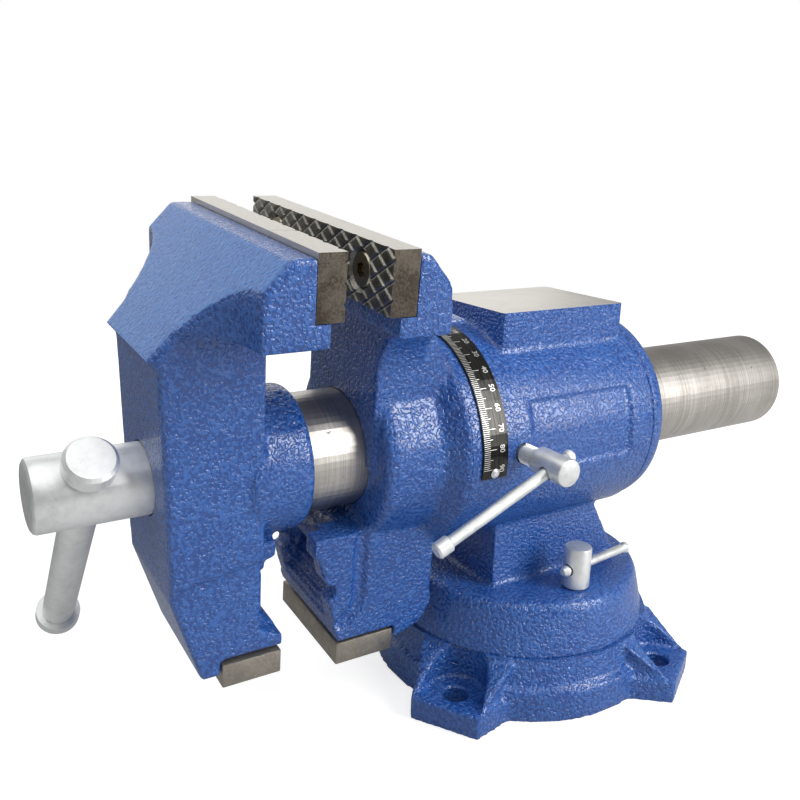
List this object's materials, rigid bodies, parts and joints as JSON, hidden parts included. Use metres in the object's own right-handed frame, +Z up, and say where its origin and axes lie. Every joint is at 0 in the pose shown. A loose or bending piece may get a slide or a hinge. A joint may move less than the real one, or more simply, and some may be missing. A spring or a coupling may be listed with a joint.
{
  "type": "bench vise",
  "caption": "Rotating bench vise with a swivel base, a rolling two-jaw head, pipe jaws, an angle scale, an anvil, a lead screw with a sliding T-handle and two clamp screws.",
  "frame": {"origin": "on the swivel axis, at the underside of the base", "axes": "+Z up; X along the lead screw, with the T-handle and the sliding jaw toward -X and the end of the bar toward +X; -Y is the side with the clamp screws"},
  "size_m": [0.4063, 0.1814, 0.2345],
  "materials": {
    "blue_enamel": "blue hammertone enamel on cast iron",
    "plain_steel": "plain machined steel",
    "zinc_plate": "dull zinc plate",
    "jaw_plate_steel": "hardened steel, ground on top and knurled on the gripping face",
    "raw_steel": "raw mottled steel",
    "turned_steel": "fine turned steel",
    "scale_black": "black metal scale with silver marks",
    "brass": "plain brass"
  },
  "bodies": {
    "base": {"base_plate": "blue_enamel"},
    "body": {"vise_body": "blue_enamel", "scale_plate": "scale_black", "scale_rivet_near": "zinc_plate", "scale_rivet_far": "zinc_plate", "pivot_bolt": "plain_steel", "pivot_washer": "plain_steel", "base_lock_nut": "plain_steel", "barrel_lock_shoe": "brass"},
    "head": {"rear_jaw": "blue_enamel", "rear_collar": "blue_enamel", "collar_screw": "plain_steel", "rear_jaw_plate": "jaw_plate_steel", "rear_plate_screw_1": "plain_steel", "rear_plate_screw_2": "plain_steel", "rear_pipe_insert": "raw_steel", "rear_insert_screw": "plain_steel", "screw_nut": "brass", "nut_key": "plain_steel"},
    "sliding_jaw": {"front_jaw": "blue_enamel", "slide_bar": "turned_steel", "bar_pin": "plain_steel", "front_jaw_plate": "jaw_plate_steel", "front_plate_screw_1": "plain_steel", "front_plate_screw_2": "plain_steel", "front_pipe_insert": "raw_steel", "front_insert_screw": "plain_steel"},
    "spindle": {"lead_screw": "zinc_plate", "screw_retainer": "plain_steel", "retainer_pin": "plain_steel"},
    "handle": {"handle_rod": "zinc_plate", "handle_knob_near": "zinc_plate", "handle_knob_far": "zinc_plate"},
    "base_lock": {"base_lock_screw": "zinc_plate"},
    "base_lock_lever": {"base_lock_bar": "zinc_plate"},
    "barrel_lock": {"barrel_lock_screw": "zinc_plate"},
    "barrel_lock_lever": {"barrel_lock_bar": "zinc_plate"}
  },
  "joints": [
    {"name": "base_swivel", "type": "hinge", "parent": "base", "child": "body", "pos_m": [0, 0, 0.0298], "axis": [0, 0, 1], "continuous": true},
    {"name": "head_roll", "type": "hinge", "parent": "body", "child": "head", "pos_m": [0, 0, 0.1286], "axis": [1, 0, 0], "range_deg": [-40, 58]},
    {"name": "jaw_slide", "type": "slide", "parent": "head", "child": "sliding_jaw", "axis": [1, 0, 0], "range_m": [-0.1051, 0.0176]},
    {"name": "spindle_turn", "type": "hinge", "parent": "sliding_jaw", "child": "spindle", "pos_m": [-0.19, 0, 0.1286], "axis": [1, 0, 0], "range_deg": [-7560, 1260]},
    {"name": "handle_slide", "type": "slide", "parent": "spindle", "child": "handle", "axis": [0, -0.6691, 0.7431], "range_m": [0, 0.11]},
    {"name": "base_lock_turn", "type": "hinge", "parent": "body", "child": "base_lock", "pos_m": [-0.0014, -0.0466, 0.0643], "axis": [0, 0, 1], "range_deg": [-170, 12]},
    {"name": "base_lock_bar_slide", "type": "slide", "parent": "base_lock", "child": "base_lock_lever", "axis": [-0.9912, -0.1323, 0], "range_m": [0, 0.0275]},
    {"name": "barrel_lock_turn", "type": "hinge", "parent": "body", "child": "barrel_lock", "pos_m": [-0.0423, -0.07, 0.1302], "axis": [0, -1, 0], "range_deg": [0, 350]},
    {"name": "barrel_lock_bar_slide", "type": "slide", "parent": "barrel_lock", "child": "barrel_lock_lever", "axis": [0.9157, 0, 0.4019], "range_m": [0, 0.05]}
  ],
  "couplings": [
    {"joint": "jaw_slide", "follows": "spindle_turn", "m_per_rad": 0.00079577}
  ]
}
